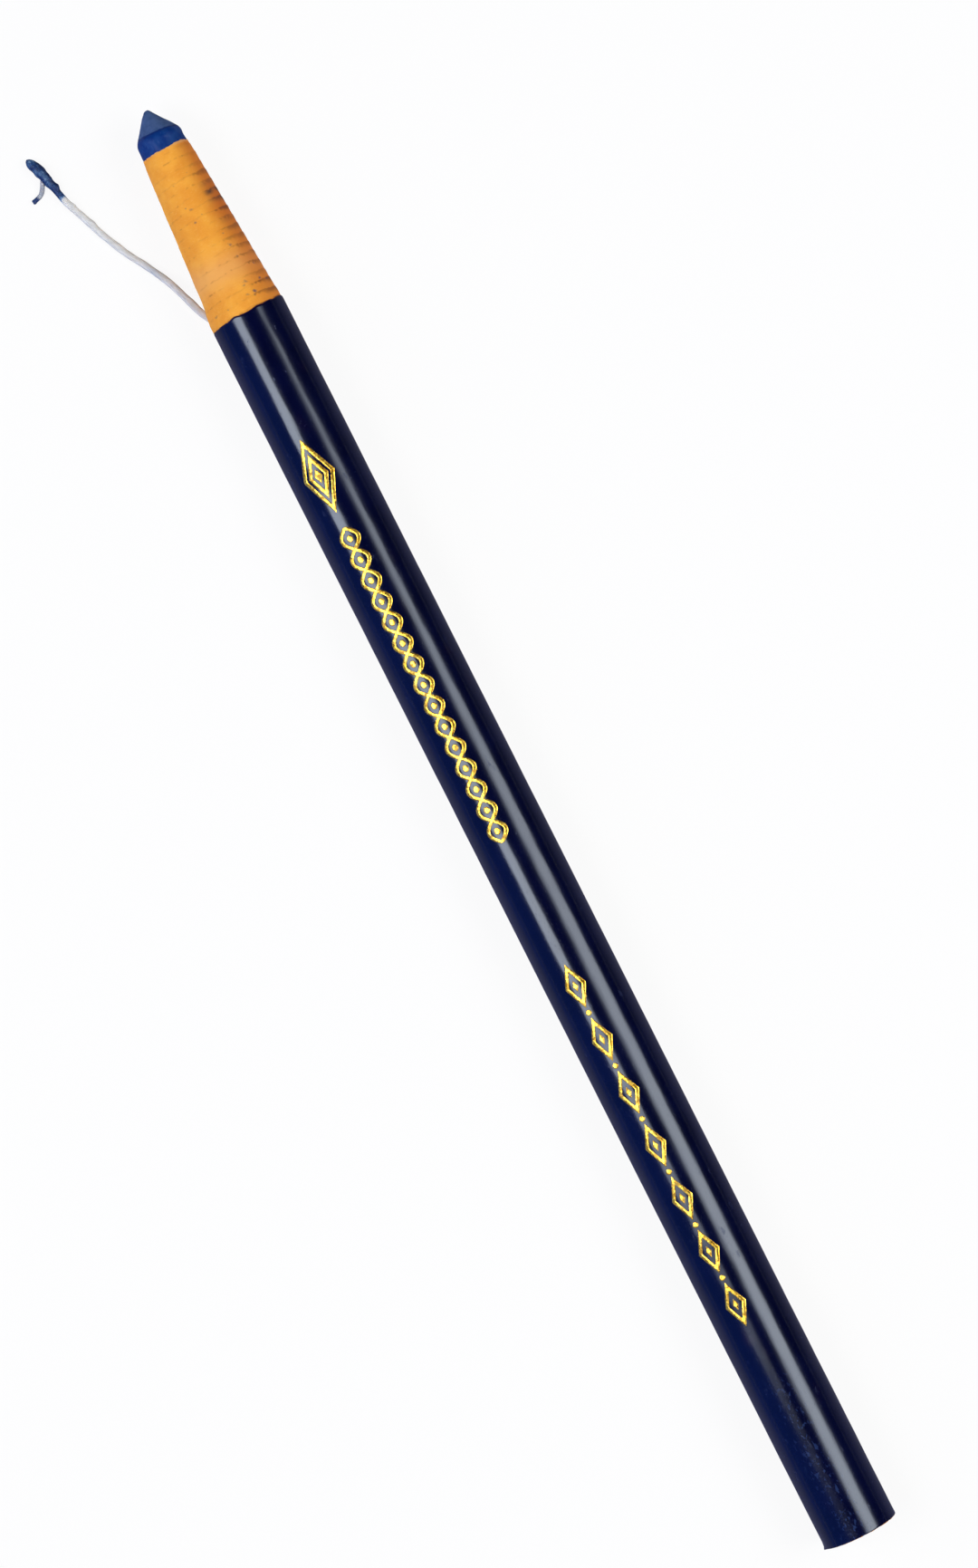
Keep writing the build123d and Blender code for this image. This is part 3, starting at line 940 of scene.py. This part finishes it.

# Floor: a plain white table top, wide enough to fill every view, that keeps the marker's shadow. In
# reflections its colour is painted: a pool of light beside the marker, brighter and bluer on the left,
# fading into the dim room, which is blue on the left.
floor_half = 8000
pool_aside = (8, 60)
pool_past_ends = (90, 200)
left_from = (-20, 20)
glow_to_camera = 0.91
glow_through_glass = 0.88
dark_side = (0.02, 0.022, 0.03, 1)
blue_side = (0.06, 0.14, 0.58, 1)
white = (1, 1, 1, 1)
floor_mesh = bpy.data.meshes.new("table_top")
floor_corners = floor_half * mm * np.array([(-1, -1, 0), (1, -1, 0), (1, 1, 0), (-1, 1, 0)])
floor_mesh.from_pydata(floor_corners, [], [(0, 1, 2, 3)])
floor = bpy.data.objects.new("table_top", floor_mesh)
bpy.context.scene.collection.objects.link(floor)
floor_material, floor_wire = new_finish("white_table")
camera_ray = floor_wire.node("LightPath", {}, {}, output="Is Camera Ray")
glossy_ray = floor_wire.node("LightPath", {}, {}, output="Is Glossy Ray")
glass_ray = floor_wire.node("LightPath", {}, {}, output="Is Transmission Ray")
table_place = floor_wire.place()
table_along = floor_wire.node("SeparateXYZ", {}, {0: table_place}, output="X")
table_aside = floor_wire.node("SeparateXYZ", {}, {0: table_place}, output="Y")
# Painted pool of light, seen only in reflections: within about 60 mm beside the marker and 90 mm along it.
beside = 1 - floor_wire.math("ABSOLUTE", table_aside).above(*pool_aside)
beside = beside * (1 - floor_wire.math("ABSOLUTE", table_along).above(*pool_past_ends))
on_left = table_aside.above(*left_from)
# Painted shade: far off, reflections see the floor in the dim room's colours.
painted_dim_table = on_left.mix(dark_side, blue_side)
# Painted light in the pool: brighter and bluer on the left.
painted_pool_colour = on_left.mix(shade(108, 108, 134), shade(132, 134, 166))
table_colour = glossy_ray.mix(shade(235, 235, 235), beside.mix(painted_dim_table, painted_pool_colour))
table = floor_wire.node("BsdfPrincipled", {}, {"Base Color": table_colour, "Roughness": 0.9})
glow = floor_wire.node("Emission", {}, {"Color": white, "Strength": 1.0})
seen = camera_ray * glow_to_camera + glass_ray * glow_through_glass
white_table = floor_wire.node("MixShader", {}, {0: seen, 1: table, 2: glow})
floor_wire.node("OutputMaterial", {}, {"Surface": white_table})
floor_mesh.materials.append(floor_material)

# Studio: two long soft boxes, one each side of the marker, which stand askew, so their streaks on
# the varnish narrow towards one end, a matt fill from the front left, and a dim room.
left_box = {
    "off_top": 30, "along": 7, "length": 378, "width": 290, "askew": 26,
    "dim_edges": (0.15, 0.15), "fade": (-150, -40), "radiance": (0.0, 8.0),
}
right_box = {
    "off_top": -36, "along": -120, "length": 480, "width": 425, "askew": -35,
    "dim_edges": (0.22, 0.4), "fade": (130, -170), "radiance": (4.8, 7.2),
}
front_fill = {
    "off_top": 62, "along": 420, "length": 400, "width": 300, "askew": 0,
    "dim_edges": (0.1, 0.1), "fade": (0, 1), "radiance": (4.0, 4.0),
}
light_distance = 600
pale_ground = (0.9, 0.9, 0.9, 1)


def soft_box(name, off_top, along, length, width, askew, dim_edges, fade, radiance):
    """Area light that faces the axis from an angle off the top, turned askew in its own plane.

    Its radiance goes from the first value to the second over the places of fade, in millimetres
    along the marker, and it dims over a share of its width at its right and left edges.
    """
    lamp = bpy.data.lights.new(name, "AREA")
    lamp.shape = "RECTANGLE"
    lamp.size = length * mm
    lamp.size_y = width * mm
    lamp.energy = math.pi * lamp.size * lamp.size_y
    lamp.use_nodes = True
    lamp.node_tree.nodes.clear()
    cloth = Wire(lamp.node_tree)
    spot = cloth.node("NewGeometry", {}, {}, output="Parametric")
    lengthwise = cloth.node("SeparateXYZ", {}, {0: spot}, output="X")
    crosswise = cloth.node("SeparateXYZ", {}, {0: spot}, output="Y")
    turn = math.radians(askew)
    reach = (lengthwise - 0.5) * (length * math.cos(turn)) - (crosswise - 0.5) * (width * math.sin(turn))
    power = (reach + along).above(*fade) * (radiance[1] - radiance[0]) + radiance[0]
    power = power * crosswise.above(0, dim_edges[0]) * (1 - crosswise).above(0, dim_edges[1])
    shine = cloth.node("Emission", {}, {"Strength": power})
    cloth.node("OutputLight", {}, {"Surface": shine})
    stand = bpy.data.objects.new(name, lamp)
    stand.location = round_axis(float(along), light_distance, math.radians(off_top)) * mm
    stand.rotation_euler = (-math.radians(off_top), 0, 0)
    stand.rotation_euler.rotate_axis("Z", turn)
    bpy.context.scene.collection.objects.link(stand)
    return stand


soft_box("left_softbox", **left_box)
soft_box("right_softbox", **right_box)
soft_box("front_fill", **front_fill).visible_glossy = False
world = bpy.data.worlds.new("studio_room")
world.use_nodes = True
world.node_tree.nodes.clear()
room = Wire(world.node_tree)
facing = room.node("TexCoord", {}, {}, output="Generated")
sideways = room.node("SeparateXYZ", {}, {0: facing}, output="Y")
upwards = room.node("SeparateXYZ", {}, {0: facing}, output="Z")
room_colour = sideways.above(0.3, 0.75).mix(dark_side, blue_side)
room_colour = upwards.above(0, 0.03).mix(pale_ground, room_colour)
room_colour = room.node("LightPath", {}, {}, output="Is Camera Ray").mix(room_colour, white)
room.node("OutputWorld", {}, {"Surface": room.node("Background", {}, {"Color": room_colour})})
bpy.context.scene.world = world

# Camera: straight above the marker, which lies aslant in the picture with its point up on the left.
camera_height = 610
view_length = 175.5
view_middle = (4.4, -0.48)
view_turn = math.radians(-116.74)
camera_data = bpy.data.cameras.new("camera")
camera_data.sensor_width = 36
camera_data.lens = camera_data.sensor_width * camera_height / view_length
camera_data.clip_end = 50
camera = bpy.data.objects.new("camera", camera_data)
camera.location = np.array([*view_middle, axis_z + camera_height]) * mm
camera.rotation_euler = (0, 0, view_turn)
bpy.context.scene.collection.objects.link(camera)
bpy.context.scene.camera = camera
bpy.context.scene.view_settings.view_transform = "Standard"
